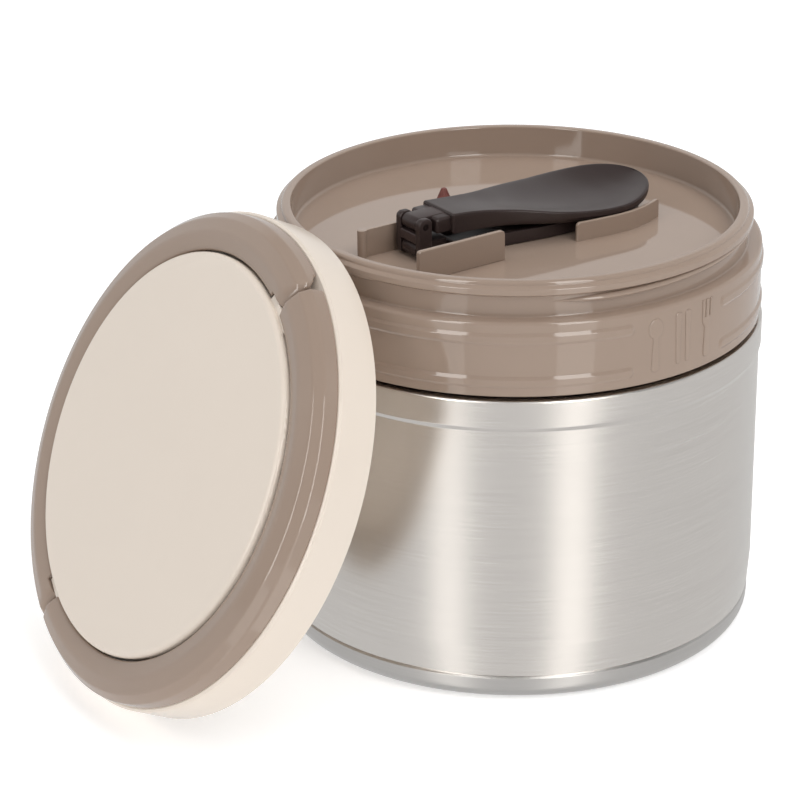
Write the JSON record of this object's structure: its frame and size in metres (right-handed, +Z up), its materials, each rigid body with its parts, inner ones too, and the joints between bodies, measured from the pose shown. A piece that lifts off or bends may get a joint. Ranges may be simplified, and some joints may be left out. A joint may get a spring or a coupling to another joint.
{
  "type": "insulated food jar",
  "caption": "Double-walled steel food jar with a screw-on inner lid whose tray holds a folding spoon, and an outer cover with a bail handle leaning on the jar.",
  "frame": {"origin": "centre of the jar's base, on the surface it stands on", "axes": "+Z up along the jar's axis; +X to the right, the way the cover and jar lie side by side; -Y towards the plain panel side that faces the viewer"},
  "size_m": [0.2166, 0.1936, 0.1351],
  "materials": {
    "steel_body": "fine brushing round the body",
    "steel_liner": "satin, electropolished",
    "steel_base": "satin",
    "getter_metal": "dull grey",
    "taupe_gloss": "glossy moulded plastic",
    "plug_plastic": "plain moulded plastic",
    "foam": "closed-cell foam",
    "silicone_clear": "translucent silicone",
    "silicone_dark": "matt silicone",
    "spoon_brown": "satin moulded plastic",
    "pin_steel": "ground pin",
    "cream_plastic": "semi-gloss moulded plastic"
  },
  "bodies": {
    "jar": {"outer_shell": "steel_body", "inner_vessel": "steel_liner", "base_cap": "steel_base", "getter_disc": "getter_metal"},
    "gasket": {"lid_seal": "silicone_clear"},
    "inner_lid": {"lid_collar": "taupe_gloss", "tray_floor": "taupe_gloss", "clip_front": "taupe_gloss", "clip_back": "taupe_gloss", "clip_curved_front": "taupe_gloss", "clip_curved_back": "taupe_gloss", "lid_plug": "plug_plastic", "lid_foam": "foam"},
    "vent": {"vent_plug": "silicone_dark"},
    "spoon_lower": {"spoon_handle": "spoon_brown"},
    "spoon_joint": {"spoon_link": "spoon_brown", "spoon_pin_lower": "pin_steel", "spoon_pin_upper": "pin_steel"},
    "spoon_upper": {"spoon_bowl": "spoon_brown"},
    "cover": {"cover_shell": "cream_plastic", "cover_plate": "cream_plastic", "fixed_half_ring": "taupe_gloss", "bail_pin_upper": "pin_steel", "bail_pin_lower": "pin_steel"},
    "bail": {"bail_handle": "taupe_gloss"}
  },
  "joints": [
    {"name": "cover_pull", "type": "slide", "parent": "jar", "child": "cover", "axis": [-0.7729, -0.4535, 0.4439], "range_m": [0, 0.24]},
    {"name": "lid_lift", "type": "slide", "parent": "jar", "child": "gasket", "axis": [0, 0, 1], "range_m": [0, 0.12]},
    {"name": "lid_turn", "type": "hinge", "parent": "gasket", "child": "inner_lid", "pos_m": [0, 0, 0.1178], "axis": [0, 0, 1], "range_deg": [0, 120]},
    {"name": "vent_pull", "type": "slide", "parent": "inner_lid", "child": "vent", "axis": [0, 0, 1], "range_m": [0, 0.0028]},
    {"name": "spoon_lift", "type": "slide", "parent": "inner_lid", "child": "spoon_lower", "axis": [0, 0, 1], "range_m": [0, 0.08]},
    {"name": "spoon_link_fold", "type": "hinge", "parent": "spoon_lower", "child": "spoon_joint", "pos_m": [-0.02944, -0.02281, 0.12055], "axis": [0.5736, -0.8192, 0], "range_deg": [0, 90]},
    {"name": "spoon_bowl_fold", "type": "hinge", "parent": "spoon_joint", "child": "spoon_upper", "pos_m": [-0.02944, -0.02281, 0.12825], "axis": [0.5736, -0.8192, 0], "range_deg": [0, 90]},
    {"name": "bail_swing", "type": "hinge", "parent": "cover", "child": "bail", "pos_m": [-0.09945, -0.05626, 0.07294], "axis": [0.5659, -0.1762, 0.8054], "range_deg": [0, 90]}
  ],
  "couplings": [
    {"joint": "lid_lift", "follows": "cover_pull", "ratio": 0.5},
    {"joint": "spoon_link_fold", "follows": "spoon_lift", "rad_per_m": 19.63},
    {"joint": "spoon_bowl_fold", "follows": "spoon_lift", "rad_per_m": 19.63}
  ]
}
